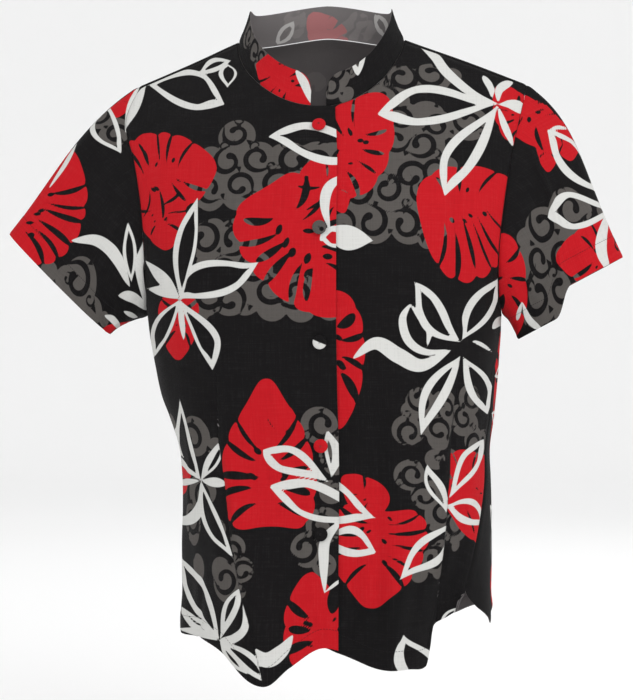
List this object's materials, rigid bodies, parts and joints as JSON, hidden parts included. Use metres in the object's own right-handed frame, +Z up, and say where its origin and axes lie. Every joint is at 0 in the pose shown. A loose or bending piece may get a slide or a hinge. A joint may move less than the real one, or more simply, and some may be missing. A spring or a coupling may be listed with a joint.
{
  "type": "mandarin collar blouse",
  "caption": "Short-sleeved blouse with a band collar, button front, waist darts and side slits, filled out as when worn.",
  "frame": {"origin": "between the neck ends of the two shoulder seams, where the wearer's neck and shoulders carry it", "axes": "+Z up, the front faces -Y, +X towards the wearer's left"},
  "size_m": [0.6377, 0.2378, 0.6951],
  "materials": {
    "printed_cloth": "matte plain weave, printed with red leaves, white flowers and grey scrolls on black",
    "button_cloth": "the same cloth stretched over a button"
  },
  "bodies": {
    "root": {"front_right": "printed_cloth", "front_left": "printed_cloth", "back": "printed_cloth", "sleeve_right": "printed_cloth", "sleeve_left": "printed_cloth", "collar": "printed_cloth", "button_1": "button_cloth", "button_2": "button_cloth", "button_3": "button_cloth", "button_4": "button_cloth", "button_5": "button_cloth"}
  },
  "joints": []
}
